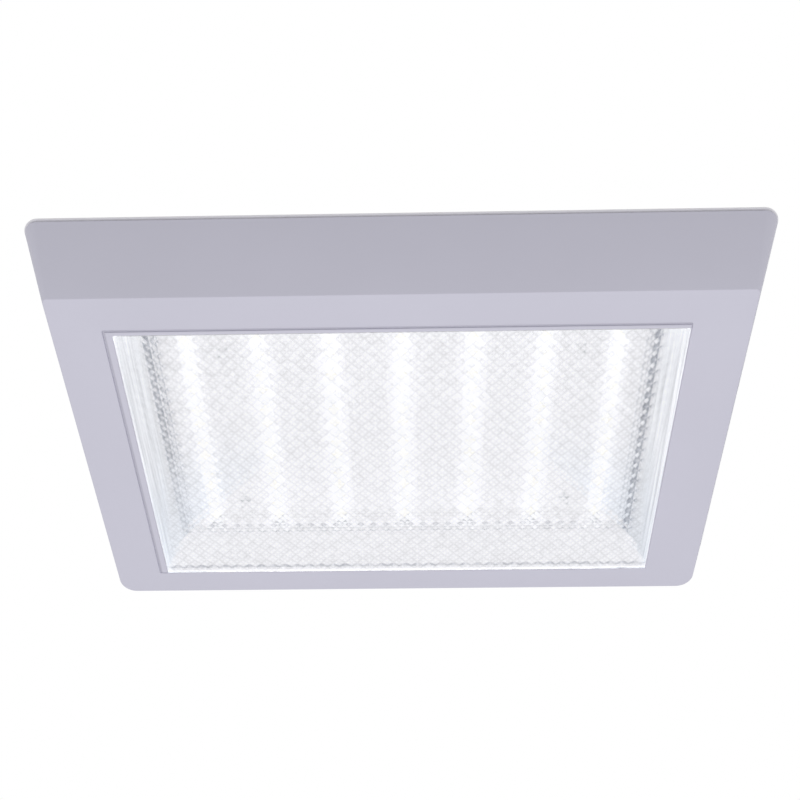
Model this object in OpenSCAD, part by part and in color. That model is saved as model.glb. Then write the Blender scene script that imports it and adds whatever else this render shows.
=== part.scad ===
// Surface-mounted LED ceiling light with a hinged canopy and a prismatic lens.
// The origin is the centre of the face that lies on the ceiling and +Z points up into the ceiling.
// +Y points to the hinge side, and +X is to the right of somebody who looks along +Y.

/* [Canopy] */
// Mean width of the face's border at the left and right of its opening
border_side = 43.5; // [40:0.5:60]
// Mean width of the face's border at the near and far sides of its opening
border_deep = 26.175; // [24:0.025:40]
// How far the left and right sides flare out from the face to the rim
flare_w = 32.5; // [28:0.5:45]
// How far the near and far sides flare out from the face to the rim
flare_d = 33.5; // [28:0.5:45]
// Height from the ceiling down to the flat face
body_h = 75; // [68:1:90]
// Shadow gap between the ceiling and the rim
rim_gap = 3; // [2.8:0.1:4]
// Thickness of the canopy's sheet steel
sheet = 1.2; // [0.8:0.1:1.5]
// Radius of the upright corners at the rim
rim_corner = 12; // [8:1:20]
// Radius of the two near corners at the face, where the bend stays crisp
near_corner = 4; // [3:0.5:8]
// Radius of the two far corners at the face
far_corner = 14; // [10:1:20]
// Outer radius of the bend from the face to the sloping sides
bend_r = 2; // [1.8:0.1:2.4]
// Width of the lip that turns in from the rim
lip_w = 9; // [8:0.5:11]

/* [Lens] */
// Corner-to-corner size of one square prism of the lens
prism_pitch = 11.25; // [10.8:0.05:11.3]
// Number of prisms across the visible width of the lens
prisms_wide = 40; // [36:1:40]
// Number of prisms across the visible depth of the lens
prisms_deep = 23; // [20:1:23]
// Offset of the lens centre along X
lens_x = 0.5; // [-2:0.5:3]
// Offset of the lens centre along Y
lens_y = 4.5; // [0:0.1:5]
// Thickness of the lens without its prisms
lens_t = 3; // [2:0.5:4]
// Height of the raised middle of the lens, which carries the prisms and fills the opening
prism_h = 2.9; // [2.2:0.1:3.1]
// Air between the raised middle of the lens and the lens frame
lens_air = 0.5; // [0.4:0.1:1]
// Air between the edge of the lens and the upright rim of the lens frame
seat_air = 3; // [2:0.5:4]
// Thickness of the foam gasket under the lens edge
gasket_t = 1; // [0.5:0.1:1.5]
// Distance that the gasket keeps back from the visible lens
gasket_back = 2; // [1:0.5:4]

/* [Lens frame] */
// Flange of the lens frame that shows at the left of the lens
show_left = 5.9; // [2:0.1:8]
// Flange of the lens frame that shows at the near side of the lens
show_near = 3.8; // [2:0.1:6]
// Slack of the opening at the right and far sides of the lens
show_rest = 0.1; // [0:0.1:1]
// Radius of the corners of the opening
opening_corner = 1.5; // [0.5:0.5:3]
// Joint between the edge of the opening and the raised land of the lens frame
land_joint = 0.8; // [0.6:0.1:1.2]
// How far the raised land of the lens frame stays back from the face
land_back = 0.3; // [0.2:0.1:0.6]
// Sheet thickness of the lens frame
frame_t = 1; // [0.8:0.1:1.2]
// Height of the lens frame's upright rim
frame_h = 11; // [8:0.5:12]

/* [Lens fixings] */
// Width of each spring clip that presses on the lens
clip_w = 14; // [8:1:20]
// Thickness of the spring clips
clip_t = 0.8; // [0.5:0.1:1]
// Length of the tab of a spring clip over the lens edge
clip_tab = 9; // [7:0.5:9.5]
// Offset of the lens clips from the middle of the long sides
clip_x = 75; // [40:5:100]
// Offset of the lens clips from the middle of the short sides
clip_y = 60; // [30:5:90]
// Offset of the turn clips from the middle of the long sides
stud_x = 150; // [130:5:190]
// Air between the lens frame and the studs beside it
stud_air = 2; // [1.5:0.1:2.5]
// Radius of the shoulder of a turn clip's stud
shoulder_r = 3.5; // [3:0.1:4]
// Radius of the threaded end of a turn clip's stud
stud_r = 2; // [1.5:0.1:2.5]
// Width of a turn clip
turn_w = 9; // [8:0.5:10]
// Reach of a turn clip from its stud
turn_reach = 9; // [8:0.5:9.5]
// Thickness of a turn clip
turn_t = 1.2; // [0.8:0.1:1.5]

/* [Ceiling pan] */
// Thickness of the pan that is screwed to the ceiling
pan_t = 1.2; // [0.8:0.1:1.5]
// Gap between the lip of the canopy and the edge of the pan
pan_gap = 2; // [1.5:0.5:4]
// Width of the pan's brim that shows outside the rim of the canopy
brim_show = 1; // [0.5:0.1:2]
// Height of the flange along the edges of the pan
pan_flange = 7.2; // [5:0.2:9]
// Distance of the ceiling screws from the flanges at the left and right of the pan
screw_in_x = 33; // [28:1:36]
// Distance of the ceiling screws from the near flange of the pan
screw_in_y = 30; // [26:1:40]
// Radius of the holes for the ceiling screws
screw_hole_r = 2.75; // [2.2:0.05:4]
// Radius of the cable hole in the pan
cable_hole_r = 11; // [8:0.5:13]
// Distance of the cable hole from the ceiling screws along Y
cable_in = 45; // [40:1:48]
// Radius of the hole in the cable grommet
grommet_bore_r = 4.5; // [3:0.5:6]

/* [Light tray] */
// Distance from the lens up to the light boards
tray_depth = 45; // [38:0.5:46]
// Sheet thickness of the white light tray
tray_t = 0.8; // [0.6:0.1:1]
// Gap between the lens and the lower edge of the light tray
tray_lift = 1.5; // [1:0.1:3]
// How far the light tray reaches past the visible lens
tray_over = 5.5; // [4:0.1:5.8]
// How far the walls of the light tray lean in from bottom to top
tray_lean = 16.8; // [12:0.1:20]
// Width of the lip around the lower edge of the light tray
tray_lip = 1.5; // [1:0.1:1.8]
// Number of light boards
board_count = 7; // [5:1:7]
// Width of a light board
board_w = 12; // [10:1:16]
// Thickness of a light board
board_t = 1.2; // [0.8:0.1:1.6]
// Gap between the end of a light board and the tray's wall
board_end_gap = 6; // [4:0.5:12]
// Number of light-emitting chips on a board
chip_count = 12; // [6:1:14]
// Edge length of a chip
chip_size = 5; // [3:0.5:5]
// Height of a chip
chip_h = 1.4; // [0.8:0.1:1.8]
// Distance from the end of a board to its screw
board_screw_in = 6; // [5:0.5:8]
// Distance from the screw of a board to its first chip
chip_start = 8; // [6:0.5:12]
// Width of the rails between the pan and the tray
rail_w = 16; // [14:1:20]
// Length of the rails between the pan and the tray
rail_len = 200; // [160:5:220]
// Sheet thickness of the rails
rail_t = 1.2; // [1:0.1:1.5]

/* [Electrics] */
// Distance of the electrics from the left flange of the pan
service_in = 33; // [31:1:36]
// Width of the driver
driver_w = 42; // [36:1:44]
// Length of the driver without its feet
driver_len = 140; // [110:5:150]
// Height of the driver
driver_h = 28; // [20:1:30]
// Distance from the driver to the terminal block
driver_gap = 33; // [28:1:40]
// Length of each foot of the driver
foot_len = 10; // [8:1:12]
// Thickness of the driver's feet
foot_t = 1.5; // [1:0.1:2]
// Distance between the poles of the terminal block
pole_pitch = 10; // [9:0.5:11]
// Length of the terminal block along Y
terminal_len = 20; // [16:1:24]
// Height of the terminal block
terminal_h = 15; // [12:1:18]
// Distance from the cable hole to the middle of the terminal block
terminal_in = 47; // [42:1:52]
// Radius of the mains wires
mains_r = 1.3; // [1:0.1:1.5]
// Radius of the low-voltage wires to the boards
lead_r = 0.9; // [0.6:0.1:1.2]
// Radius of the jumper wires between the boards
jumper_r = 0.5; // [0.3:0.05:0.55]

/* [Hinges] */
// Offset of each hinge from the middle of the far side
hinge_x = 170; // [120:5:220]
// Depth of the hinge axis below the ceiling
hinge_drop = 7.8; // [7.5:0.1:8.2]
// Outer radius of the canopy's hinge knuckles
knuckle_r = 2; // [1.8:0.1:2.1]
// Radius of the hinge pin
pin_r = 1; // [0.8:0.1:1.1]
// Clearance between a hinge pin and its knuckles
pin_clear = 0.05; // [0.02:0.01:0.1]
// Length of the fixed knuckle
fixed_knuckle = 12; // [8:1:16]
// Length of each moving knuckle
moving_knuckle = 7; // [5:0.5:10]
// Length of the hinge leaf on the canopy's wall
leaf_len = 14; // [10:1:20]
// Thickness of the hinge leaves
leaf_t = 1; // [0.8:0.1:1.2]

/* [Latches] */
// Offset of each latch from the middle of the near side
latch_x = 180; // [150:5:220]
// Travel of the latch bolt
bolt_travel = 5.5; // [5:0.1:6]
// Length of the bolt's nose under the lip of the canopy
bolt_bite = 4.5; // [3.5:0.1:4.8]
// Thickness of the latch bolt
bolt_t = 3.5; // [3:0.1:4]
// Width of the nose of the latch bolt
nose_w = 8; // [6:0.5:9]
// Width of the guided part of the latch bolt
bolt_w = 12; // [11:0.5:14]
// Length of the guided part of the latch bolt
bolt_guide = 8; // [7:0.5:10]
// Wall thickness of the latch body
latch_wall = 1.5; // [1.2:0.1:2]
// Free length of the latch spring
spring_len = 8.7; // [8:0.1:10]
// Mean radius of the latch spring
spring_r = 1.4; // [1.2:0.05:1.5]
// Radius of the spring's wire
spring_wire = 0.2; // [0.15:0.01:0.25]

/* [Hidden] */
$fn = 48;

// Running clearance between pieces that move against each other
gap = 0.3;
// Overshoot of a cut past the surface that it opens
cut = 0.5;
// Thickness of the slices that a tapered shell is stretched over, and their steps round its bend
slice = 0.01;
bend_steps = 3;

// A length taken down to a whole number of fiftieths of a millimetre
function whole(v) = floor(v * 50) / 50;

// The visible lens and the opening in the face
lens_w = prism_pitch * prisms_wide;
lens_d = prism_pitch * prisms_deep;
opening_w = lens_w + show_left + show_rest;
opening_d = lens_d + show_near + show_rest;
opening_x = lens_x + (show_rest - show_left) / 2;
opening_y = lens_y + (show_rest - show_near) / 2;

// The face, the rim and the sloping sides, with their outward run for each millimetre of height
face_w = opening_w + 2 * border_side;
face_d = opening_d + 2 * border_deep;
rim_w = face_w + 2 * flare_w;
rim_d = face_d + 2 * flare_d;
slope_w = flare_w / (body_h - rim_gap);
slope_d = flare_d / (body_h - rim_gap);
lean_w = atan(slope_w);
lean_d = atan(slope_d);
face_z = -body_h;
face_in_z = face_z + sheet;
rim_z = -rim_gap;
lip_z = rim_z - sheet;
bend_in_r = max(bend_r - sheet, 0.5);

// The lens frame, which leaves the studs their room beside the bend of the far side
bend_room = sheet / cos(lean_d) - sheet * slope_d + bend_in_r * tan((90 - lean_d) / 2);
stud_off = stud_air + shoulder_r;
frame_flange = whole(face_d / 2 - bend_room - gap - shoulder_r - stud_off - lens_y - lens_d / 2);
lens_seat = frame_flange - frame_t - seat_air;

// The stack of lens frame, gasket and lens on the face
frame_top_z = face_in_z + frame_h;
gasket_z = face_in_z + frame_t;
lens_z = gasket_z + gasket_t;
lens_top_z = lens_z + lens_t;
frame_w = lens_w + 2 * frame_flange;
frame_d = lens_d + 2 * frame_flange;
turn_z = frame_top_z + gap;
nut_z = turn_z + turn_t + gap;
nut_h = 3.2;
nut_r = stud_r * 2.02;

// The light tray
tray_low_z = lens_top_z + tray_lift;
led_z = lens_top_z + tray_depth;
roof_z = led_z + tray_t;
tray_low_w = lens_w + 2 * tray_over;
tray_low_d = lens_d + 2 * tray_over;
tray_roof_w = tray_low_w - 2 * tray_lean;
tray_roof_d = tray_low_d - 2 * tray_lean;
board_pitch = tray_roof_w / board_count;
board_len = tray_roof_d - 2 * board_end_gap;
chip_pitch = (board_len - 2 * (board_screw_in + chip_start)) / (chip_count - 1);
board_z = led_z - board_t;
rail_x = 2.5 * board_pitch;
rail_screw_y = rail_len / 2 - rail_w;

// The pan and the hinge line
hinge_rise = hinge_drop - rim_gap;
hinge_inset = (knuckle_r + pin_clear + sheet) / cos(lean_d) + hinge_rise * slope_d;
hinge_y = rim_d / 2 - hinge_inset;
sweep_r = norm([hinge_inset, hinge_rise]) + gap;
pan_z = -pan_t;
pan_w = rim_w - 2 * (lip_w + pan_gap);
pan_near = rim_d / 2 - lip_w - pan_gap;
pan_far = whole(hinge_y - sqrt(pow(sweep_r, 2) - pow(hinge_drop - pan_t, 2)));
pan_corner = rim_corner / 2;
brim_w = rim_w + 2 * brim_show;
brim_near = rim_d / 2 + brim_show;
screw_span_x = pan_w - 2 * screw_in_x;
screw_span_y = 2 * (pan_near - screw_in_y);
wall_gap = knuckle_r + pin_clear;
fixed_r = wall_gap - gap - pin_clear;
web_y = hinge_y - sweep_r;
bracket_foot = 16;
small_screw_r = 1.5;
screw_clear = 0.08;

// The latches
lip_near = rim_d / 2 - lip_w;
bolt_top = lip_z - gap;
nose_y = -(lip_near + bolt_bite);
latch_front = -(pan_near - bolt_travel);
guide_y = latch_front + latch_wall + gap;
spring_y = guide_y + bolt_guide;
latch_back = spring_y + spring_len + latch_wall;
latch_low = bolt_top - bolt_t - gap - latch_wall;
tab_y = -(lip_near - gap);
tab_t = 1.4;
ear_w = 8;
ear_t = 2;
spring_turns = 6;

// The electrics
service_x = pan_w / 2 - service_in;
cable_y = screw_span_y / 2 - cable_in;
terminal_y = cable_y - terminal_in;
terminal_start = terminal_y - terminal_len / 2;
driver_low = pan_z - driver_h;
driver_end = terminal_start - driver_gap;
driver_y = driver_end - driver_len / 2;
driver_start = driver_end - driver_len;
terminal_w = 3 * pole_pitch + 2;
wire_z = pan_z - 8;
wire_bend = 4;
lead_z = wire_z - 2;
lead_y = driver_start - foot_len - wire_bend;
lead_in = 20;
lead_hole_r = 3;
earth_x = -service_x + terminal_w / 2 + 8;
earth_y = terminal_start - 14;
earth_r = 1;
ring_r = 4.5;
ring_z = pan_z - 2 * earth_r - 0.1;
pit_r = 2;
pit_deep = 3;

function board_x(i) = lens_x + (i - (board_count - 1) / 2) * board_pitch;
function half_w(z) = face_w / 2 + (z + body_h) * slope_w;
function half_d(z) = face_d / 2 + (z + body_h) * slope_d;
function corner_r(z, at_face) = at_face + (rim_corner - at_face) * (z + body_h) / (body_h - rim_gap);

function unit(v) = v / norm(v);

// Direction of a route at each of its points
function tangents(p) = [for (i = [0 : len(p) - 1])
    unit((i > 0 ? unit(p[i] - p[i - 1]) : [0, 0, 0]) + (i < len(p) - 1 ? unit(p[i + 1] - p[i]) : [0, 0, 0]))];

// A vector square to each direction in turn, carried along without twist
function carried(along, v, i = 0) = i == len(along) ? [] :
    let (w = unit(v - (v * along[i]) * along[i])) concat([w], carried(along, w, i + 1));

// A flat rectangle with round corners, which can have another radius at the far side
module rounded(w, d, r, far_r = 0) {
    f = far_r > 0 ? far_r : r;
    translate([-w / 2, r - d / 2]) square([w, d - r - f]);
    translate([r - w / 2, -d / 2]) square([w - 2 * r, d / 2]);
    translate([f - w / 2, -1]) square([w - 2 * f, d / 2 + 1]);
    for (side = [-1, 1]) {
        translate([side * (w / 2 - r), r - d / 2]) circle(r);
        translate([side * (w / 2 - f), d / 2 - f]) circle(f);
    }
}

// Children drawn in the YZ plane, made l long along X
module along_x(l) {
    rotate([90, 0, 90]) linear_extrude(l, center = true) children();
}

// Children drawn in the XZ plane, made l long along Y
module along_y(l) {
    rotate([90, 0, 0]) linear_extrude(l, center = true) children();
}

// A slab between two heights, centred on X and Y
module slab(w, d, low, high) {
    translate([-w / 2, -d / 2, low]) cube([w, d, high - low]);
}

// A disc or a bar between two heights
module post(r, low, high) {
    translate([0, 0, low]) cylinder(r = r, h = high - low);
}

// A screw that is driven from below: a round head under seat_z and a shank up to tip_z
module screw(r, seat_z, tip_z) {
    post(r * 1.8, seat_z - r, seat_z);
    post(r, seat_z - cut, tip_z);
}

// A hexagon nut around a stud, between two heights
module nut(r, bore, low, high) {
    difference() {
        translate([0, 0, low]) cylinder(r = r, h = high - low, $fn = 6);
        post(bore, low - cut, high + cut);
    }
}

// A rectangular frustum that is w0 by d0 at z0 and w1 by d1 at z1
module frustum(w0, d0, z0, w1, d1, z1) {
    intersection() {
        along_y(max(d0, d1) + 2)
            polygon([[-w0 / 2, z0], [w0 / 2, z0], [w1 / 2, z1], [-w1 / 2, z1]]);
        along_x(max(w0, w1) + 2)
            polygon([[-d0 / 2, z0], [d0 / 2, z0], [d1 / 2, z1], [-d1 / 2, z1]]);
    }
}

// A wire of radius r swept along a list of points as an eight-sided tube
module wire(points, r) {
    sides = 8;
    last = len(points) - 1;
    along = tangents(points);
    across = carried(along, [along[0].y, along[0].z, along[0].x]);
    rings = [for (i = [0 : last], s = [0 : sides - 1]) let (a = 360 * s / sides)
        points[i] + r * (cos(a) * across[i] + sin(a) * cross(along[i], across[i]))];
    polyhedron(rings, concat(
        [for (i = [0 : last - 1], s = [0 : sides - 1]) let (n = (s + 1) % sides)
            [i * sides + s, (i + 1) * sides + n, i * sides + n]],
        [for (i = [0 : last - 1], s = [0 : sides - 1]) let (n = (s + 1) % sides)
            [i * sides + s, (i + 1) * sides + s, (i + 1) * sides + n]],
        [[for (s = [0 : sides - 1]) s]],
        [[for (s = [sides - 1 : -1 : 0]) last * sides + s]]));
}

// One slice of the tapered shell, set in by t and further by the bend
module shell_slice(z, t, bent) {
    in_w = t / cos(lean_w) + bent;
    in_d = t / cos(lean_d) + bent;
    translate([0, 0, z]) linear_extrude(slice)
        rounded(2 * (half_w(z) - in_w), 2 * (half_d(z) - in_d), max(corner_r(z, near_corner) - in_w, 1),
            max(corner_r(z, far_corner) - in_w, 1), $fn = 32);
}

// The tapered shell between a bent lower edge and a flat top, set in by t
module taper(t, low, high, r) {
    hull() {
        for (k = [0 : bend_steps]) {
            a = k / bend_steps * (90 - lean_d);
            rise = r * (1 - cos(a));
            shell_slice(low + rise, t, r * (tan((90 - lean_d) / 2) - sin(a)) + rise * slope_d);
        }
        shell_slice(high - slice, t, 0);
    }
}

// Pan that is screwed to the ceiling, with flanges inside the rim and a brim that shows outside it
module ceiling_pan() {
    pan_d = pan_far + pan_near;
    mid_y = (pan_far - pan_near) / 2;
    color("gainsboro") difference() {
        union() {
            translate([0, (pan_far - brim_near) / 2, pan_z]) linear_extrude(pan_t)
                rounded(brim_w, pan_far + brim_near, rim_corner + brim_show, pan_corner);
            translate([0, -pan_near + pan_t / 2, 0])
                slab(pan_w - 2 * pan_corner, pan_t, -pan_flange, pan_z + pan_t / 2);
            for (side = [-1, 1])
                translate([side * (pan_w - pan_t) / 2, mid_y, 0])
                    slab(pan_t, pan_d - 4 * pan_corner, -pan_flange, pan_z + pan_t / 2);
        }
        for (sx = [-1, 1], sy = [-1, 1])
            translate([sx * screw_span_x / 2, sy * screw_span_y / 2, 0]) post(screw_hole_r, pan_z - cut, cut);
        translate([-service_x, cable_y, 0]) post(cable_hole_r, pan_z - cut, cut);
        for (side = [-1, 1])
            translate([side * latch_x, -pan_near, 0])
                slab(bolt_w + 2, 2 * (bolt_travel + tab_t), -pan_flange - cut, pan_z);
        for (p = driver_screw_places()) translate(p) post(small_screw_r + screw_clear, pan_z - cut, cut);
        for (p = latch_screw_places()) translate(p) post(small_screw_r + screw_clear, pan_z - cut, cut);
        for (p = hinge_screw_places()) translate(p) post(small_screw_r + screw_clear, pan_z - cut, cut);
    }
}

// Rubber ring in the cable hole, with a lip below the pan
module cable_grommet() {
    color("dimgray") translate([-service_x, cable_y, 0]) difference() {
        union() {
            post(cable_hole_r - screw_clear, pan_z - cut, 0);
            post(cable_hole_r + 2.5, pan_z - 2.5, pan_z);
            post(grommet_bore_r + 2, pan_z - 7, pan_z - 2);
        }
        post(grommet_bore_r, pan_z - 8, cut);
    }
}

// Two channel rails that hold the tray below the pan
module tray_rails() {
    color("silver") for (side = [-1, 1])
        translate([lens_x + side * rail_x, lens_y, 0]) difference() {
            along_y(rail_len) {
                translate([-rail_w / 2, roof_z]) square([rail_t, pan_z - roof_z]);
                translate([-rail_w / 2, roof_z]) square([rail_w, rail_t]);
                translate([-rail_w / 2, pan_z - rail_t]) square([rail_w, rail_t]);
            }
            for (sy = [-1, 1])
                translate([0, sy * rail_screw_y, 0])
                    post(small_screw_r + screw_clear, roof_z - cut, roof_z + rail_t + cut);
        }
}

// White tray with leaning walls that carries the boards and throws their light down
module reflector_tray() {
    wall = tray_t / cos(atan(tray_lean / (led_z - tray_low_z)));
    lean = tray_lean / (led_z - tray_low_z);
    lift = 1;
    color("white") translate([lens_x, lens_y, 0]) difference() {
        union() {
            frustum(tray_low_w + 2 * wall, tray_low_d + 2 * wall, tray_low_z,
                tray_roof_w + 2 * (wall - tray_t * lean), tray_roof_d + 2 * (wall - tray_t * lean), roof_z);
            slab(tray_low_w + 2 * (wall + tray_lip), tray_low_d + 2 * (wall + tray_lip),
                tray_low_z, tray_low_z + tray_t);
        }
        frustum(tray_low_w + 2 * lean * lift, tray_low_d + 2 * lean * lift, tray_low_z - lift,
            tray_roof_w, tray_roof_d, led_z);
        for (i = [0 : board_count - 1], sy = [-1, 1])
            translate([board_x(i) - lens_x, sy * (board_len / 2 - board_screw_in), 0])
                post(small_screw_r + screw_clear, led_z - cut, roof_z + cut);
        for (side = [-1, 1], sy = [-1, 1])
            translate([side * rail_x, sy * rail_screw_y, 0])
                post(small_screw_r + screw_clear, led_z - cut, roof_z + cut);
        translate([board_x(0) - lens_x, lead_hole_y() - lens_y, 0])
            post(lead_hole_r, led_z - cut, roof_z + cut);
    }
}

// Screws that fix the tray to its rails
module tray_screws() {
    color("silver") for (side = [-1, 1], sy = [-1, 1])
        translate([lens_x + side * rail_x, lens_y + sy * rail_screw_y, 0])
            screw(small_screw_r, led_z, roof_z + rail_t + 1);
}

// One metal-cored light board on the underside of the tray's roof
module led_board(i) {
    color("whitesmoke") translate([board_x(i), lens_y, 0]) difference() {
        slab(board_w, board_len, board_z, led_z);
        for (sy = [-1, 1])
            translate([0, sy * (board_len / 2 - board_screw_in), 0])
                post(small_screw_r + screw_clear, board_z - cut, led_z + cut);
    }
}

// Light-emitting chips of all boards
module led_chips() {
    color("lightyellow") for (i = [0 : board_count - 1], k = [0 : chip_count - 1])
        translate([board_x(i), lens_y + (k - (chip_count - 1) / 2) * chip_pitch, 0])
            slab(chip_size, chip_size, board_z - chip_h, board_z);
}

// Two screws for each light board
module board_screws() {
    color("silver") for (i = [0 : board_count - 1], sy = [-1, 1])
        translate([board_x(i), lens_y + sy * (board_len / 2 - board_screw_in), 0])
            screw(small_screw_r, board_z, roof_z + 0.6);
}

// Pairs of jumper wires that pass the current from board to board
module jumper_wires() {
    color("white") for (i = [0 : board_count - 2], k = [0, 1]) {
        y = lens_y + board_len / 2 - board_screw_in - (chip_start - chip_size / 2) * (1 + k) / 2;
        z = led_z - board_t / 2;
        wire([[board_x(i) + board_w / 2, y, z], [board_x(i + 1) - board_w / 2, y, z]], jumper_r);
    }
}

function lead_hole_y() = max(lead_y + lead_in, lens_y - board_len / 2 + lead_in);

// Pair of wires from the driver, over the tray and down to the first board
module led_lead() {
    apart = 3;
    color("firebrick") for (k = [0, 1]) {
        x = -service_x + driver_w / 4 + apart * k;
        y = lead_y + apart * k;
        down_x = board_x(0) + apart * (0.5 - k);
        wire([[x, driver_start, lead_z], [x, y + wire_bend, lead_z], [x + wire_bend, y, lead_z],
            [down_x - wire_bend, y, lead_z], [down_x, y + wire_bend, lead_z],
            [down_x, lead_hole_y(), lead_z], [down_x, lead_hole_y(), led_z]], lead_r);
    }
}

function driver_screw_places() =
    [for (sy = [-1, 1]) [-service_x, driver_y + sy * (driver_len + foot_len) / 2, 0]];

// Driver that feeds the boards, with a foot at each end
module driver() {
    color("white") difference() {
        union() {
            translate([-service_x, driver_y, driver_low])
                linear_extrude(driver_h) rounded(driver_w, driver_len, 3);
            translate([-service_x, driver_y, 0])
                slab(driver_w * 0.7, driver_len + 2 * foot_len, pan_z - foot_t, pan_z);
        }
        for (p = driver_screw_places())
            translate(p) post(small_screw_r + screw_clear, pan_z - foot_t - cut, pan_z + cut);
    }
}

// Screws through the driver's feet into the pan
module driver_screws() {
    color("silver") for (p = driver_screw_places()) translate(p) screw(small_screw_r, pan_z - foot_t, -0.1);
}

// Mains wires from the terminal block to the driver
module mains_wires() {
    color("saddlebrown") for (k = [-1, 0])
        wire([[-service_x + k * pole_pitch, driver_end, wire_z],
            [-service_x + k * pole_pitch, terminal_start, wire_z]], mains_r);
}

// Three-pole block where the supply cable is connected
module terminal_block() {
    color("ivory") difference() {
        translate([-service_x, terminal_y, 0]) slab(terminal_w, terminal_len, pan_z - terminal_h, pan_z);
        for (k = [-1, 0, 1])
            translate([-service_x + k * pole_pitch, terminal_y + terminal_len / 2, wire_z])
                rotate([90, 0, 0]) cylinder(r = mains_r + 0.7, h = terminal_len / 2);
        for (p = pole_screw_places())
            translate(p) post(pit_r + screw_clear, pan_z - terminal_h - cut, pan_z - terminal_h + pit_deep);
    }
}

function pole_screw_places() =
    [for (k = [-1, 0, 1], sy = [-1, 1]) [-service_x + k * pole_pitch, terminal_y + sy * terminal_len / 4, 0]];

// Clamping screws in the pits of the terminal block
module terminal_screws() {
    low = pan_z - terminal_h + 0.8;
    slot = 0.6;
    color("gold") for (p = pole_screw_places()) translate(p) difference() {
        post(pit_r, low, pan_z - terminal_h + pit_deep);
        slab(3 * pit_r, slot, low - cut, low + slot);
    }
}

// Stud on the pan for the earth wire
module earth_stud() {
    color("silver") translate([earth_x, earth_y, 0]) post(stud_r, pan_z - 12, pan_z);
}

// Nut that clamps the earth wire's ring
module earth_nut() {
    color("gold") translate([earth_x, earth_y, 0])
        nut(nut_r, stud_r + pin_clear, ring_z - nut_h, ring_z);
}

// Earth wire from the terminal block, with its ring between the pan and the nut
module earth_wire() {
    start_x = -service_x + pole_pitch;
    mid_z = (ring_z + pan_z) / 2;
    color("yellowgreen") {
        wire([[start_x, terminal_start, wire_z], [start_x, terminal_start - wire_bend, wire_z],
            [start_x, earth_y + wire_bend, mid_z], [start_x + wire_bend, earth_y, mid_z],
            [earth_x - ring_r + 1, earth_y, mid_z]], earth_r);
        translate([earth_x, earth_y, 0]) difference() {
            post(ring_r, ring_z, pan_z);
            post(stud_r + pin_clear, ring_z - cut, pan_z + cut);
        }
    }
}

function hinge_screw_places() =
    [for (side = [-1, 1]) [side * hinge_x, web_y - bracket_foot / 2 - leaf_t, 0]];

// Fixed half of a hinge: a knuckle on an arm that clears the swing of the rim, with a foot on the pan
module hinge_bracket(side) {
    color("silver") translate([side * hinge_x, 0, 0]) difference() {
        along_x(fixed_knuckle) {
            translate([hinge_y, -hinge_drop]) circle(fixed_r);
            translate([web_y - leaf_t, -hinge_drop - leaf_t / 2]) square([sweep_r + leaf_t, leaf_t]);
            translate([web_y - leaf_t, -hinge_drop - leaf_t / 2])
                square([leaf_t, hinge_drop + leaf_t / 2 - pan_t]);
            translate([web_y - bracket_foot, pan_z - leaf_t]) square([bracket_foot, leaf_t]);
        }
        translate([0, hinge_y, -hinge_drop]) rotate([0, 90, 0])
            cylinder(r = pin_r + pin_clear, h = fixed_knuckle + 2, center = true);
        for (p = hinge_screw_places())
            translate([0, p.y, 0]) post(small_screw_r + screw_clear, pan_z - leaf_t - cut, pan_z + cut);
    }
}

// Screws through the feet of the hinge brackets
module hinge_screws() {
    color("silver") for (p = hinge_screw_places()) translate(p) screw(small_screw_r, pan_z - leaf_t, -0.1);
}

// The two hinge pins, each with a head at its outer end
module hinge_pins() {
    pin_len = fixed_knuckle + 2 * (moving_knuckle + gap);
    color("dimgray") for (side = [-1, 1])
        translate([side * hinge_x, hinge_y, -hinge_drop]) rotate([0, side * 90, 0]) {
            cylinder(r = pin_r, h = pin_len, center = true);
            translate([0, 0, pin_len / 2 + pin_clear]) cylinder(r = pin_r + 0.6, h = 0.8);
            translate([0, 0, pin_len / 2 - cut]) cylinder(r = pin_r, h = 2 * cut);
        }
}

// Moving half of a hinge: a leaf along the inside of the sloping far wall and two knuckles
module hinge_leaf(side) {
    leaf_w = fixed_knuckle + 2 * (moving_knuckle + gap);
    color("silver") translate([side * hinge_x, hinge_y, -hinge_drop]) rotate([-lean_d, 0, 0]) difference() {
        union() {
            translate([-leaf_w / 2, wall_gap - leaf_t, -leaf_len]) cube([leaf_w, leaf_t, leaf_len]);
            rotate([0, 90, 0]) cylinder(r = knuckle_r, h = leaf_w, center = true);
        }
        translate([-fixed_knuckle / 2 - gap, -knuckle_r - 1, -fixed_r - 2 * gap])
            cube([fixed_knuckle + 2 * gap, 2 * knuckle_r + 2, 2 * fixed_r + 3]);
        rotate([0, 90, 0]) cylinder(r = pin_r + pin_clear, h = leaf_w + 2, center = true);
    }
}

function latch_screw_places() =
    [for (side = [-1, 1], sx = [-1, 1])
        [side * latch_x + sx * (bolt_w / 2 + latch_wall + gap + ear_w / 2),
            (latch_front + latch_back) / 2, 0]];

// Moulded body that guides a latch bolt, with an ear on each side
module latch_body(side) {
    mid = (latch_front + latch_back) / 2;
    body_w = bolt_w + 2 * (gap + latch_wall);
    low = bolt_top - bolt_t - gap;
    high = bolt_top + gap;
    color("lightgray") difference() {
        translate([side * latch_x, mid, 0]) {
            slab(body_w, latch_back - latch_front, latch_low, pan_z);
            slab(body_w + 2 * ear_w, 10, pan_z - ear_t, pan_z);
        }
        translate([side * latch_x - bolt_w / 2 - gap, latch_front + latch_wall, low])
            cube([bolt_w + 2 * gap, latch_back - latch_front - 2 * latch_wall, high - low]);
        translate([side * latch_x - nose_w / 2 - gap, latch_front - cut, low])
            cube([nose_w + 2 * gap, latch_wall + 2 * cut, high - low]);
        for (p = latch_screw_places())
            translate(p) post(small_screw_r + screw_clear, latch_low - cut, pan_z + cut);
    }
}

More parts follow.
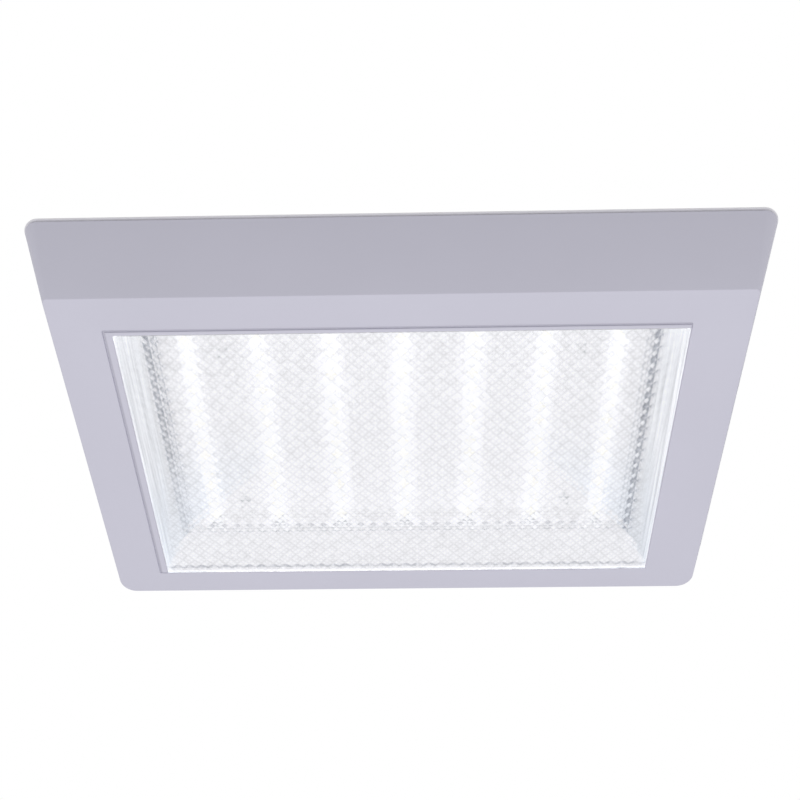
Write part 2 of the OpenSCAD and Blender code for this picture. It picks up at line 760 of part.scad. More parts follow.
// Screws through the ears of the latch bodies
module latch_screws() {
    color("silver") for (p = latch_screw_places()) translate(p) screw(small_screw_r, pan_z - ear_t, -0.1);
}

// Spring that pushes a latch bolt out, as one coiled wire between the bolt and the back of the body
module latch_spring(side) {
    steps = 8;
    sides = 6;
    total = spring_turns * steps;
    length = spring_len - 2 * spring_wire - 0.1;
    rise = length / total;
    rings = [for (k = [0 : total]) let (a = 360 * k / steps)
        for (s = [0 : sides - 1]) let (b = 360 * s / sides, r = spring_r + spring_wire * cos(b))
            [r * cos(a), k * rise + spring_wire * sin(b), r * sin(a)]];
    faces = concat(
        [for (k = [0 : total - 1], s = [0 : sides - 1]) let (n = (s + 1) % sides)
            [k * sides + s, k * sides + n, (k + 1) * sides + n]],
        [for (k = [0 : total - 1], s = [0 : sides - 1]) let (n = (s + 1) % sides)
            [k * sides + s, (k + 1) * sides + n, (k + 1) * sides + s]],
        [[for (s = [sides - 1 : -1 : 0]) s]],
        [[for (s = [0 : sides - 1]) total * sides + s]]);
    color("silver") translate([side * latch_x, spring_y + spring_wire + 0.05, bolt_top - bolt_t / 2])
        polyhedron(rings, faces);
}

// Latch bolt: a sloped nose under the canopy's lip, a release tab and a wider guided part
module latch_bolt(side) {
    low = bolt_top - bolt_t;
    color("white") translate([side * latch_x, 0, 0]) {
        along_x(nose_w) polygon([[nose_y, bolt_top], [nose_y, bolt_top - 1],
            [nose_y + bolt_t + 1, low], [guide_y + 1, low], [guide_y + 1, bolt_top]]);
        along_x(nose_w - 2) translate([tab_y, bolt_top - 1]) square([tab_t, pan_z - gap - bolt_top + 1]);
        translate([0, guide_y + bolt_guide / 2, 0]) slab(bolt_w, bolt_guide, low, bolt_top);
    }
}

// Tapered canopy of folded sheet: flat face, sloping sides, rounded corners and a lip inside the rim
module canopy() {
    color("lavender") difference() {
        taper(0, face_z, rim_z, bend_r);
        taper(sheet, face_in_z, lip_z, bend_in_r);
        translate([0, 0, lip_z - cut]) linear_extrude(sheet + 2 * cut)
            rounded(rim_w - 2 * lip_w, rim_d - 2 * lip_w, max(rim_corner - lip_w, 3));
        translate([opening_x, opening_y, face_z - cut]) linear_extrude(sheet + 2 * cut)
            rounded(opening_w, opening_d, opening_corner);
        for (side = [-1, 1])
            translate([side * hinge_x - fixed_knuckle / 2 - 2, lip_near - 1, lip_z - cut])
                cube([fixed_knuckle + 4,
                    half_d(lip_z) - sheet / cos(lean_d) - lip_near + 1, sheet + 2 * cut]);
    }
}

// Lens frame: a flange inside the face, an upright rim around it and a raised land that shows in the opening
module lens_frame() {
    land_z = face_z + land_back;
    land_left = lens_w / 2 + show_left - land_joint;
    land_near = lens_d / 2 + show_near - land_joint;
    color("lavender") translate([lens_x, lens_y, 0]) difference() {
        union() {
            translate([0, 0, face_in_z]) linear_extrude(frame_h) rounded(frame_w, frame_d, 2);
            translate([-land_left, -land_near, land_z])
                cube([land_left + lens_w / 2 - cut,
                    land_near + lens_d / 2 - cut, face_in_z + frame_t / 2 - land_z]);
        }
        translate([0, 0, gasket_z]) linear_extrude(frame_h)
            rounded(frame_w - 2 * frame_t, frame_d - 2 * frame_t, 1);
        slab(lens_w, lens_d, land_z - cut, gasket_z + cut);
    }
}

// Foam gasket between the lens frame and the lens
module lens_gasket() {
    outer = 2 * lens_seat;
    inner = 2 * gasket_back;
    color("white") translate([lens_x, lens_y, 0]) difference() {
        slab(lens_w + outer, lens_d + outer, gasket_z, lens_z);
        slab(lens_w + inner, lens_d + inner, gasket_z - cut, lens_z + cut);
    }
}

// Clear lens: a sheet with a raised middle that carries the prisms and fills the opening
module lens() {
    color([0.9, 0.95, 1, 0.5]) translate([lens_x, lens_y, 0]) {
        slab(lens_w + 2 * lens_seat, lens_d + 2 * lens_seat, lens_z, lens_top_z);
        slab(lens_w - 2 * lens_air, lens_d - 2 * lens_air, lens_z - prism_h, lens_z + cut);
    }
}

// Spring clip that hooks over the rim of the lens frame and presses on the lens, rim along X at Y = 0
module lens_clip() {
    air = 0.05;
    tab_z = lens_top_z + air;
    top_z = frame_top_z + air;
    along_x(clip_w) {
        translate([-clip_tab, tab_z]) square([clip_tab - air, clip_t]);
        translate([-clip_t - air, tab_z]) square([clip_t, top_z - tab_z + clip_t]);
        translate([-clip_t - air, top_z]) square([frame_t + 2 * (clip_t + air), clip_t]);
        translate([frame_t + air, top_z - 4]) square([clip_t, 4 + clip_t]);
    }
}

// The eight spring clips around the lens
module lens_clips() {
    color("silver") translate([lens_x, lens_y, 0]) for (turn = [0, 180], side = [-1, 1]) {
        rotate([0, 0, turn]) translate([side * clip_x, frame_d / 2 - frame_t, 0]) lens_clip();
        rotate([0, 0, turn + 90]) translate([side * clip_y, frame_w / 2 - frame_t, 0]) lens_clip();
    }
}

function stud_place(i) =
    [lens_x + (i % 2 == 0 ? -1 : 1) * stud_x, lens_y + (i < 2 ? -1 : 1) * (frame_d / 2 + stud_off), 0];

// Shouldered studs welded to the inside of the face
module clip_studs() {
    color("silver") for (i = [0 : 3]) translate(stud_place(i)) {
        post(shoulder_r, face_in_z, frame_top_z);
        post(stud_r, frame_top_z - cut, nut_z + nut_h + 1);
    }
}

// Nuts that keep the turn clips on their studs
module clip_nuts() {
    color("gold") for (i = [0 : 3])
        translate(stud_place(i)) nut(nut_r, stud_r + pin_clear, nut_z, nut_z + nut_h);
}

// Clip that turns on its stud to hold down or free the lens frame
module turn_clip(i) {
    way = i < 2 ? 1 : -1;
    color("silver") translate(stud_place(i)) translate([0, 0, turn_z]) difference() {
        linear_extrude(turn_t) {
            circle(turn_w / 2);
            translate([-turn_w / 2, way > 0 ? 0 : -(turn_reach - 2)]) square([turn_w, turn_reach - 2]);
            translate([0, way * (turn_reach - 2)]) rounded(turn_w, 4, 1.9);
        }
        post(stud_r + pin_clear, -cut, turn_t + cut);
    }
}

ceiling_pan();
cable_grommet();
tray_rails();
reflector_tray();
tray_screws();
led_board(0);  // led_board_1
led_board(1);  // led_board_2
led_board(2);  // led_board_3
led_board(3);  // led_board_4
led_board(4);  // led_board_5
led_board(5);  // led_board_6
led_board(6);  // led_board_7
led_chips();
board_screws();
jumper_wires();
led_lead();
driver();
driver_screws();
mains_wires();
terminal_block();
terminal_screws();
earth_stud();
earth_nut();
earth_wire();
hinge_bracket(-1);  // hinge_bracket_left
hinge_bracket(1);  // hinge_bracket_right
hinge_screws();
hinge_pins();
latch_body(-1);  // latch_body_left
latch_body(1);  // latch_body_right
latch_screws();
latch_spring(-1);  // latch_spring_left
latch_spring(1);  // latch_spring_right
latch_bolt(-1);  // latch_bolt_left
latch_bolt(1);  // latch_bolt_right
canopy();
hinge_leaf(-1);  // hinge_leaf_left
hinge_leaf(1);  // hinge_leaf_right
lens_frame();
lens_gasket();
lens();
lens_clips();
clip_studs();
clip_nuts();
turn_clip(0);  // turn_clip_1
turn_clip(1);  // turn_clip_2
turn_clip(2);  // turn_clip_3
turn_clip(3);  // turn_clip_4
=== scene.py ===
import math

import bmesh
import bpy
from mathutils import Matrix, Vector


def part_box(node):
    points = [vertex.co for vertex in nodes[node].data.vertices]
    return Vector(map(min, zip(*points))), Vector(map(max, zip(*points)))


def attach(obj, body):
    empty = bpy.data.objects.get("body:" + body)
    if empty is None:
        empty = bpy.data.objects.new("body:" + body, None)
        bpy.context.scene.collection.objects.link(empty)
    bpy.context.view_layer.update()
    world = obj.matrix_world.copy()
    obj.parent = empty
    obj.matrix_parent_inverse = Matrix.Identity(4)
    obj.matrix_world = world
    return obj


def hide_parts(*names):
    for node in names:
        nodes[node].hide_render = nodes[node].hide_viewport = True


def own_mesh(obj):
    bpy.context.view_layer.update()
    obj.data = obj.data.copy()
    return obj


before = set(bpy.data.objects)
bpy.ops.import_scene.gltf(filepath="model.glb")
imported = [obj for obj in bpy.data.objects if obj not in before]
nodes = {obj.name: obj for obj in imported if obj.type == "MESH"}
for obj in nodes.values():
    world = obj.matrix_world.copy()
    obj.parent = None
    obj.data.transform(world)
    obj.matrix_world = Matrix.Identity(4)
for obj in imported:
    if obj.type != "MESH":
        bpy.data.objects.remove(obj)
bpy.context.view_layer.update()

MM = 0.001

# Boxes of the parts in model.glb, in metres
canopy_low, canopy_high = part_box("canopy")
lens_low, lens_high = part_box("lens")
tray_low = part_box("reflector_tray")[0]
first_board_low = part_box("led_board_1")[0]
middle_board_low, middle_board_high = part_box("led_board_4")
last_board_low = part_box("led_board_7")[0]
driver_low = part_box("driver")[0]

# Sizes of the canopy, as in the CAD model
SHEET = 1.2 * MM
FACE_W, FACE_D = 543 * MM, 315 * MM
RIM_CORNER, NEAR_CORNER, FAR_CORNER = 12 * MM, 4 * MM, 14 * MM
INNER_CORNER = 1.2 * MM
BEND_R = 1.0 * MM
RIM_BEND_R = 0.7 * MM
LIP_W = 9 * MM
EDGE_R = 0.25 * MM
CANOPY_SMOOTH = 30
CORNER_STEPS = 12
BEND_STEPS = 6

# Room that the notches in the lip leave round the hinge brackets
NOTCH_SIDE, NOTCH_FRONT, NOTCH_BACK, NOTCH_OVER = 2 * MM, 1 * MM, 2 * MM, 1 * MM

# Sizes of the lens and of the opening that it fills: the frame's land shows at the left and near
# sides, and the joint round the land is wider than in the CAD model
SHOW_LEFT, SHOW_NEAR, SHOW_REST = 5.9 * MM, 3.8 * MM, 0.1 * MM
JOINT_WEAR = 1.1 * MM
OPENING_R = 0.7 * MM
OPENING_CORNER = 1.5 * MM
LENS_W, LENS_D = 450 * MM, 258.75 * MM
LENS_AIR = 0.5 * MM
LENS_T = 3 * MM
PITCH = 11.25 * MM
PRISM_H = 0.30 * MM

FACE_Z = canopy_low.z
RIM_Z = canopy_high.z
RISE = RIM_Z - FACE_Z
RIM_W = canopy_high.x - canopy_low.x
RIM_D = canopy_high.y - canopy_low.y
SLOPE_W = (RIM_W - FACE_W) / 2 / RISE
SLOPE_D = (RIM_D - FACE_D) / 2 / RISE
LENS_C = (lens_low + lens_high) / 2
OPENING_W = LENS_W + SHOW_LEFT + JOINT_WEAR + SHOW_REST
OPENING_D = LENS_D + SHOW_NEAR + JOINT_WEAR + SHOW_REST
OPENING_C = (LENS_C.x + (SHOW_REST - SHOW_LEFT - JOINT_WEAR) / 2,
             LENS_C.y + (SHOW_REST - SHOW_NEAR - JOINT_WEAR) / 2)


# ---- Mesh helpers ----

def mesh_object(name, verts, faces, smooth_angle=None):
    """A mesh object made of points and faces."""
    mesh = bpy.data.meshes.new(name)
    mesh.from_pydata([tuple(v) for v in verts], [], faces)
    mesh.validate()
    obj = bpy.data.objects.new(name, mesh)
    bpy.context.scene.collection.objects.link(obj)
    bm = bmesh.new()
    bm.from_mesh(mesh)
    bmesh.ops.recalc_face_normals(bm, faces=bm.faces)
    bm.to_mesh(mesh)
    bm.free()
    if smooth_angle is not None:
        shade_by_angle(obj, smooth_angle)
    return obj


def shade_by_angle(obj, degrees):
    """Smooth shading, with the edges sharper than an angle left crisp."""
    mesh = obj.data
    bm = bmesh.new()
    bm.from_mesh(mesh)
    limit = math.radians(degrees)
    for f in bm.faces:
        f.smooth = True
    for e in bm.edges:
        e.smooth = len(e.link_faces) == 2 and e.calc_face_angle(0) < limit
    bm.to_mesh(mesh)
    bm.free()


def apply_modifiers(obj):
    """Replaces the mesh with what its modifiers make of it."""
    depsgraph = bpy.context.evaluated_depsgraph_get()
    made = bpy.data.meshes.new_from_object(obj.evaluated_get(depsgraph))
    obj.modifiers.clear()
    obj.data = made


def loop_points(half_w, half_d, near, far, z, centre=(0, 0)):
    """Points round a rectangle whose near and far corners have their own radii."""
    points = []
    for k, (sx, sy) in enumerate(((1, 1), (-1, 1), (-1, -1), (1, -1))):
        corner = far if sy > 0 else near
        cx, cy = centre[0] + sx * (half_w - corner), centre[1] + sy * (half_d - corner)
        for i in range(CORNER_STEPS + 1):
            a = math.radians(90 * k + 90 * i / CORNER_STEPS)
            points.append((cx + corner * math.cos(a), cy + corner * math.sin(a), z))
    return points


def loft(name, loops, smooth_angle):
    """A closed skin through loops that have equally many points, the last joined to the first."""
    count = len(loops[0])
    verts = [p for loop in loops for p in loop]
    faces = []
    for j in range(len(loops)):
        k = (j + 1) % len(loops)
        for i in range(count):
            n = (i + 1) % count
            faces.append((j * count + i, j * count + n, k * count + n, k * count + i))
    return mesh_object(name, verts, faces, smooth_angle)


def tube(name, points, radius, sides=10):
    """A round tube along a list of points, with its ends closed."""
    points = [Vector(p) for p in points]
    last = len(points) - 1
    verts, faces = [], []
    across = (points[1] - points[0]).orthogonal()
    for i, p in enumerate(points):
        along = (points[min(i + 1, last)] - points[max(i - 1, 0)]).normalized()
        across = (across - across.dot(along) * along).normalized()
        up = along.cross(across)
        for s in range(sides):
            a = 2 * math.pi * s / sides
            verts.append(p + radius * (math.cos(a) * across + math.sin(a) * up))
    for i in range(last):
        for s in range(sides):
            n = (s + 1) % sides
            faces.append((i * sides + s, i * sides + n, (i + 1) * sides + n, (i + 1) * sides + s))
    faces += [tuple(range(sides)), tuple(range(last * sides, (last + 1) * sides))]
    return mesh_object(name, verts, faces, SOFT_SMOOTH)


def cut_away(obj, lows_and_highs):
    """Cuts boxes out of a mesh."""
    cutters = []
    for low, high in lows_and_highs:
        bpy.ops.mesh.primitive_cube_add(size=1)
        cutter = bpy.context.object
        cutter.location = [(a + b) / 2 for a, b in zip(low, high)]
        cutter.scale = [b - a for a, b in zip(low, high)]
        cutters.append(cutter)
        modifier = obj.modifiers.new("cut", "BOOLEAN")
        modifier.operation = "DIFFERENCE"
        modifier.solver = "EXACT"
        modifier.object = cutter
    bpy.context.view_layer.update()
    apply_modifiers(obj)
    for cutter in cutters:
        bpy.data.objects.remove(cutter)


# ---- Materials ----

class Graph:
    """The node tree of one material, with short calls for the nodes that it takes."""

    def __init__(self, name):
        self.material = bpy.data.materials.new(name)
        self.material.use_nodes = True
        self.tree = self.material.node_tree
        self.shader = self.tree.nodes["Principled BSDF"]
        self.place = self.new("ShaderNodeTexCoord").outputs["Object"]

    def new(self, kind, **settings):
        node = self.tree.nodes.new(kind)
        for key, value in settings.items():
            setattr(node, key, value)
        return node

    def feed(self, socket, value):
        """Gives a socket a number, a colour or the result of another node."""
        if isinstance(value, (int, float)):
            socket.default_value = value
        elif isinstance(value, tuple):
            socket.default_value = (*value, 1)
        else:
            self.tree.links.new(value, socket)

    def set(self, name, value):
        """Gives a socket of the shader its value."""
        self.feed(self.shader.inputs[name], value)

    def axes(self):
        """The place along each of the three axes."""
        node = self.new("ShaderNodeSeparateXYZ")
        self.feed(node.inputs[0], self.place)
        return tuple(node.outputs)

    def math(self, operation, a, b=0.0):
        node = self.new("ShaderNodeMath", operation=operation)
        self.feed(node.inputs[0], a)
        self.feed(node.inputs[1], b)
        return node.outputs[0]

    def add(self, a, b):
        return self.math("ADD", a, b)

    def sub(self, a, b):
        return self.math("SUBTRACT", a, b)

    def mul(self, a, b):
        return self.math("MULTIPLY", a, b)

    def largest(self, first, *others):
        for value in others:
            first = self.math("MAXIMUM", first, value)
        return first

    def apart(self, a, b):
        """Distance between two values."""
        return self.math("ABSOLUTE", self.sub(a, b))

    def without(self, value):
        """What is left of 1."""
        return self.sub(1.0, value)

    def smooth(self, value, span, low=0.0, high=1.0):
        """Goes softly from low to high while the value goes over a span."""
        node = self.new("ShaderNodeMapRange", interpolation_type="SMOOTHSTEP")
        sockets = ("Value", "From Min", "From Max", "To Min", "To Max")
        for name, number in zip(sockets, (value, *span, low, high)):
            self.feed(node.inputs[name], number)
        return node.outputs["Result"]

    def noise(self, scale, detail=2.0, rough=0.5, stretch=None):
        node = self.new("ShaderNodeTexNoise")
        node.inputs["Scale"].default_value = scale
        node.inputs["Detail"].default_value = detail
        node.inputs["Roughness"].default_value = rough
        source = self.place
        if stretch:
            mapping = self.new("ShaderNodeMapping")
            mapping.inputs["Scale"].default_value = stretch
            self.feed(mapping.inputs["Vector"], self.place)
            source = mapping.outputs["Vector"]
        self.feed(node.inputs["Vector"], source)
        return node.outputs["Fac"]

    def off_lattice(self, value, pitch, phase=0.0):
        """Distance from the nearest of evenly spaced places, as a share of the pitch."""
        turns = self.math("DIVIDE", self.sub(value, phase), pitch)
        return self.apart(turns, self.math("ROUND", turns))

    def cell_tone(self, a, b, pitch):
        """A random number for each cell of a lattice."""
        cell = self.new("ShaderNodeCombineXYZ")
        for socket, value in zip(cell.inputs, (a, b)):
            self.feed(socket, self.math("FLOOR", self.math("DIVIDE", value, pitch)))
        node = self.new("ShaderNodeTexWhiteNoise", noise_dimensions="2D")
        self.feed(node.inputs["Vector"], cell.outputs[0])
        return node.outputs["Value"]

    def ramp(self, value, span, low, high):
        """Goes evenly from one colour to another while the value goes over a span."""
        node = self.new("ShaderNodeValToRGB")
        for element, position, colour in zip(node.color_ramp.elements, span, (low, high)):
            element.position = position
            element.color = (*colour, 1)
        self.feed(node.inputs["Fac"], value)
        return node.outputs["Color"]

    def mix(self, factor, a, b):
        """A mix of two colours."""
        node = self.new("ShaderNodeMix", data_type="RGBA", blend_type="MIX")
        for socket, value in (("Factor", factor), (6, a), (7, b)):
            self.feed(node.inputs[socket], value)
        return node.outputs[2]

    def bump(self, height, strength, distance):
        node = self.new("ShaderNodeBump")
        node.inputs["Strength"].default_value = strength
        node.inputs["Distance"].default_value = distance
        self.feed(node.inputs["Height"], height)
        self.set("Normal", node.outputs["Normal"])

    def gloss(self, noise, start, uneven):
        """Roughness that goes up with a noise."""
        self.set("Roughness", self.add(self.mul(noise, uneven), start))

    def glow(self, colour, level):
        self.set("Emission Color", colour)
        self.set("Emission Strength", level)


# Depth of the grain in a surface, and how uneven the gloss of paint and metal is
GRAIN_DEPTH = 0.1 * MM
PAINT_UNEVEN, METAL_UNEVEN = 0.12, 0.2
# The middle of a noise, and the span in which most of its values lie
NOISE_MEAN = 0.5
NOISE_SPAN = (0.3, 0.7)


def shade(colour, factor):
    return tuple(min(1, c * factor) for c in colour)


def paint_graph(name, colour, roughness, variation=0.03, grain=1400, bump=0.12, gloss=0.5):
    """Powder coat or moulded plastic: slight clouds of tone, a fine grain and uneven gloss."""
    g = Graph(name)
    clouds = g.noise(scale=9, detail=3)
    tones = shade(colour, 1 - variation), shade(colour, 1 + variation)
    g.set("Base Color", g.ramp(clouds, NOISE_SPAN, *tones))
    speck = g.noise(scale=grain, rough=0.6)
    g.gloss(speck, roughness - PAINT_UNEVEN * NOISE_MEAN, PAINT_UNEVEN)
    g.bump(speck, bump, GRAIN_DEPTH)
    g.set("Specular IOR Level", gloss)
    return g


def paint(*settings, **named):
    return paint_graph(*settings, **named).material


def metal(name, colour, roughness, brushed=(1, 1, 1)):
    """Bare or plated metal with fine brushing or mottling."""
    g = Graph(name)
    streaks = g.noise(scale=900, detail=4, rough=0.65, stretch=brushed)
    patches = g.noise(scale=60, detail=3)
    streaks_share, darkest, lightest = 0.4, 0.82, 1.1
    tone = g.add(g.mul(streaks, streaks_share), g.mul(patches, 1 - streaks_share))
    g.set("Base Color", g.ramp(tone, NOISE_SPAN, shade(colour, darkest), shade(colour, lightest)))
    g.gloss(streaks, roughness - METAL_UNEVEN * NOISE_MEAN, METAL_UNEVEN)
    g.bump(streaks, strength=0.1, distance=GRAIN_DEPTH)
    g.set("Metallic", 1)
    return g.material


def earth_wire_material():
    """Insulation in patches of green and yellow."""
    g = Graph("wire_green_yellow")
    waves = g.noise(scale=240, detail=1)
    g.set("Base Color", g.ramp(waves, (0.46, 0.54), (0.03, 0.28, 0.04), (0.75, 0.62, 0.03)))
    g.set("Roughness", 0.4)
    return g.material


COAT_COLOUR = (0.594, 0.585, 0.680)
COAT = dict(roughness=0.5, variation=0.012, grain=1500, bump=0.10, gloss=0.3)
WIRE = dict(roughness=0.4, grain=1500, bump=0.05)
canopy_paint = paint("powder_coat", COAT_COLOUR, **COAT)
# Painted light: the pan's coat is made lighter than the canopy's, so that its brim, which lies in
# shade, shows as a light band
pan_coat_painted_light = paint("pan_powder_coat", (0.76, 0.75, 0.79), roughness=0.5, variation=0.015)
zinc = metal("zinc_plate", (0.62, 0.64, 0.66), roughness=0.34)
spring_metal = metal("spring_steel", (0.72, 0.72, 0.74), roughness=0.22, brushed=(1, 1, 8))
brass_metal = metal("brass_plate", (0.78, 0.60, 0.28), roughness=0.28)
dark_steel = metal("black_oxide_steel", (0.12, 0.12, 0.13), roughness=0.4)
driver_plastic = paint("driver_plastic", (0.80, 0.80, 0.79),
                       roughness=0.45, variation=0.015, grain=2200, bump=0.25)
terminal_plastic = paint("terminal_plastic", (0.80, 0.78, 0.70),
                         roughness=0.4, variation=0.015, grain=2500, bump=0.1)
acetal_grey = paint("acetal_grey", (0.52, 0.53, 0.56),
                    roughness=0.35, variation=0.015, grain=2500, bump=0.08)
acetal_white = paint("acetal_white", (0.82, 0.82, 0.80),
                     roughness=0.33, variation=0.01, grain=2500, bump=0.06)
rubber = paint("grommet_rubber", (0.10, 0.10, 0.104),
               roughness=0.6, variation=0.06, grain=1800, bump=0.3)
foam = paint("gasket_foam", (0.78, 0.78, 0.78),
             roughness=0.85, variation=0.04, grain=2600, bump=0.8)
wire_red = paint("wire_red", (0.42, 0.02, 0.02), variation=0.04, **WIRE)
wire_white = paint("wire_white", (0.80, 0.80, 0.80), variation=0.02, **WIRE)
wire_brown = paint("wire_brown", (0.16, 0.07, 0.035), variation=0.04, **WIRE)

# Painted shade beside the joint round the frame's land: how dark it makes the coat, and how far
# from the joint it reaches
JOINT_PAINTED_SHADE = 0.84
JOINT_SPAN = (0.2 * MM, 2.2 * MM)


def frame_material():
    """The canopy's powder coat, with painted shade that makes it a little darker beside the joint
    round the raised land.
    """
    g = paint_graph("powder_coat_frame_painted_shade", COAT_COLOUR, **COAT)
    x, y, _ = g.axes()
    joint_x = LENS_C.x - LENS_W / 2 - SHOW_LEFT
    joint_y = LENS_C.y - LENS_D / 2 - SHOW_NEAR
    beside = [g.smooth(g.apart(value, joint), JOINT_SPAN, 1.0, 0.0)
              for value, joint in ((x, joint_x), (y, joint_y))]
    g.set("Base Color", g.mix(g.largest(*beside), COAT_COLOUR, shade(COAT_COLOUR, JOINT_PAINTED_SHADE)))
    return g.material


# ---- The tray, with painted light ----

# Painted light from the boards and white reflector, and the chips' own light, as a share of full
# white
ROOF_PAINTED_LIGHT = 0.59
STRIPE_PAINTED_LIGHT = 0.12
WALL_PAINTED_LIGHT = 0.568
BOARD_PAINTED_LIGHT = 0.70
CHIP_GLOW = 0.71
LIGHT_COLOUR = (0.985, 0.985, 1.0)
FAR_END_COLOUR = (0.87, 0.93, 1.0)

# Stripes of painted light on the roof, each over a board; the span is a share of the boards' pitch
BOARDS = 7
BOARD_PITCH = (last_board_low.x - first_board_low.x) / (BOARDS - 1)
BOARD_MIDDLE = (middle_board_low.x + middle_board_high.x) / 2
STRIPE_SPAN = (0.06, 0.26)

# The spans further down are in metres: from the lens's middle towards the right or the far side, or
# from a fold, crease or bead

# The roof inside the tray's folds, and the spans over which it passes into the walls, the ends into
# the long sides, and the left half into the right one
ROOF_HALF_W, ROOF_HALF_D = 213.7 * MM, 118.075 * MM
WALL_SPAN = (-0.5 * MM, 0.5 * MM)
SIDE_SPAN = (-1 * MM, 0.5 * MM)
RIGHT_SPAN = (-0.01, 0.01)

# Two creases of painted shade at each end, as distances inside the roof's edge; at the right the
# inner one is weaker
OUTER_CREASE, INNER_CREASE = -1.5 * MM, 4.5 * MM
CREASE_SPAN = (0.5 * MM, 1.8 * MM)
RIGHT_INNER_DEPTH = 0.5
# The painted shade of the left creases gets lighter towards the far side
LEFT_FADE_SPAN = (-0.02, 0.10)
LEFT_FADE_NEAR, LEFT_FADE_FAR = 0.10, 0.55
# Painted shade in the folds at the near and far sides, and at the bead above the tray's mouth
SIDE_FOLD_SPAN, SIDE_FOLD_DEPTH = (0.2 * MM, 0.9 * MM), 0.8
BEAD_Z = tray_low.z + 6 * MM
BEAD_SPAN, BEAD_DEPTH = (0.5 * MM, 1.4 * MM), 0.55
# The folds' painted shade is broken up into darker and lighter spots, and dims most of the glow
SPOT_SCALE, SPOT_SPAN = 210, (0.40, 0.60)
END_SPOT_LOW, SIDE_SPOT_LOW = 0.65, 0.45
FOLD_SHADE_COLOUR = (0.08, 0.11, 0.19)
REFLECTOR_COLOUR = (0.35, 0.35, 0.36)
FOLD_SHADE_DIMS = 0.9

# Streaks drawn into the walls' painted light, and the mean of what they add
STREAK_SCALE, STREAK_STRETCH, STREAK_DEPTH, STREAK_MEAN = 420, (1, 0.02, 1), 0.40, 0.18
# End walls get less painted light than the long ones: at the near and the far side, left and right
END_SPAN = (-0.02, 0.13)
LEFT_LOSS_NEAR, LEFT_LOSS_FAR = 0.155, 0.055
RIGHT_LOSS_NEAR, RIGHT_LOSS_FAR = 0.13, 0.155
# The roof's painted light is a little brighter at the far side, and darker at the near corners,
# the near side and the ends
FAR_SPAN, FAR_GAIN = (-0.02, 0.11), 0.035
CORNER_SPAN_X, CORNER_SPAN_Y, CORNER_LOSS = (0.10, 0.20), (-0.10, 0.02), 0.03
NEAR_SPAN, NEAR_LOSS = (-0.12, -0.03), 0.05
ENDS_SPAN, ENDS_LOSS = (0.12, 0.20), 0.05


